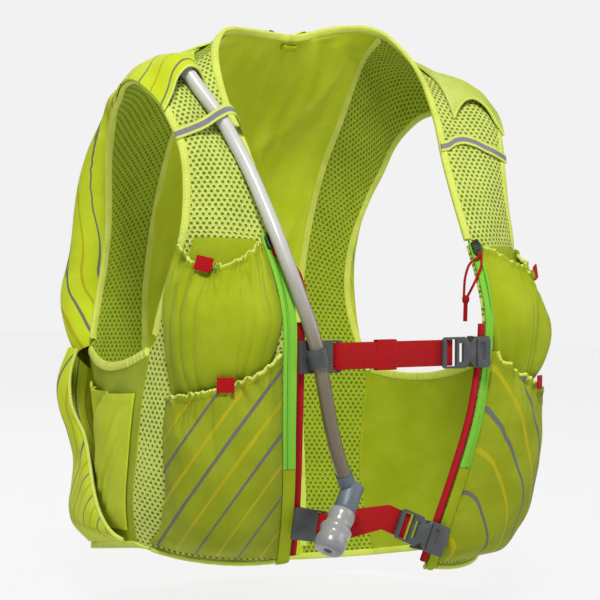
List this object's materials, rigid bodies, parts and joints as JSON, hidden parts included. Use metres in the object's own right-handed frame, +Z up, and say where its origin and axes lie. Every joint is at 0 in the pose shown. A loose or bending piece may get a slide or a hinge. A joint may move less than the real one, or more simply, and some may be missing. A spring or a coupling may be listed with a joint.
{
  "type": "running hydration vest",
  "caption": "Sleeveless running vest with front pockets, a back pouch, chest straps on side rails and a drinking hose with a bite valve over one shoulder.",
  "frame": {"origin": "between the wearer's shoulders, where the vest rests on them, at the height where the neckline meets the straps", "axes": "+Z up, the wearer faces -Y, the wearer's right side is -X"},
  "size_m": [0.3428, 0.3267, 0.4565],
  "materials": {
    "spacer_mesh": "open spacer mesh, matt",
    "lime_cloth": "smooth stretch cloth, matt",
    "striped_cloth": "stretch cloth with grey and yellow stripes",
    "edge_binding": "folded elastic binding",
    "red_webbing": "woven red webbing and cord",
    "reflective_band": "woven band with a reflective centre",
    "zip_tape": "zip tape with coil",
    "zip_metal": "dark painted metal",
    "rail_cord": "stiff woven cord",
    "buckle_plastic": "moulded plastic, fine grain",
    "hose_tube": "soft clear tube over a grey lining",
    "valve_rubber": "soft milky rubber"
  },
  "bodies": {
    "root": {"front_panel_right": "spacer_mesh", "back_flank_right": "spacer_mesh", "side_panel_right": "lime_cloth", "side_elastic_right": "edge_binding", "armhole_binding_right": "edge_binding", "upper_pocket_right": "lime_cloth", "upper_pocket_tab_right": "red_webbing", "upper_pocket_facing_right": "lime_cloth", "lower_pocket_right": "striped_cloth", "lower_pocket_tab_right": "red_webbing", "side_pocket_right": "lime_cloth", "shoulder_cover_right": "striped_cloth", "keeper_band_right": "reflective_band", "zip_tape_right": "zip_tape", "front_facing_right": "lime_cloth", "rail_right": "rail_cord", "front_panel_left": "spacer_mesh", "back_flank_left": "spacer_mesh", "side_panel_left": "lime_cloth", "side_elastic_left": "edge_binding", "armhole_binding_left": "edge_binding", "upper_pocket_left": "lime_cloth", "upper_pocket_tab_left": "red_webbing", "upper_pocket_facing_left": "lime_cloth", "lower_pocket_left": "striped_cloth", "lower_pocket_tab_left": "red_webbing", "side_pocket_left": "lime_cloth", "shoulder_cover_left": "lime_cloth", "keeper_band_left": "reflective_band", "zip_tape_left": "zip_tape", "front_facing_left": "lime_cloth", "rail_left": "rail_cord", "back_centre_panel": "lime_cloth", "back_cover": "striped_cloth", "back_stretch_pocket": "striped_cloth", "neck_binding": "edge_binding", "hem_binding": "edge_binding", "collar_loop": "lime_cloth", "upper_webbing": "red_webbing", "lower_webbing": "red_webbing", "upper_strap_slider": "buckle_plastic", "upper_webbing_keeper": "red_webbing", "upper_buckle_male": "buckle_plastic", "upper_buckle_female": "buckle_plastic", "lower_strap_slider": "buckle_plastic", "lower_buckle_male": "buckle_plastic", "lower_buckle_female": "buckle_plastic", "drink_hose": "hose_tube", "hose_elbow": "buckle_plastic", "bite_valve": "valve_rubber", "upper_hose_clip": "buckle_plastic", "zip_slider_right": "zip_metal", "pull_cord_right_1": "red_webbing", "pull_cord_right_2": "red_webbing", "pull_cord_knot_right": "red_webbing", "zip_slider_left": "zip_metal", "pull_cord_left_1": "red_webbing", "pull_cord_left_2": "red_webbing", "pull_cord_knot_left": "red_webbing"}
  },
  "joints": []
}
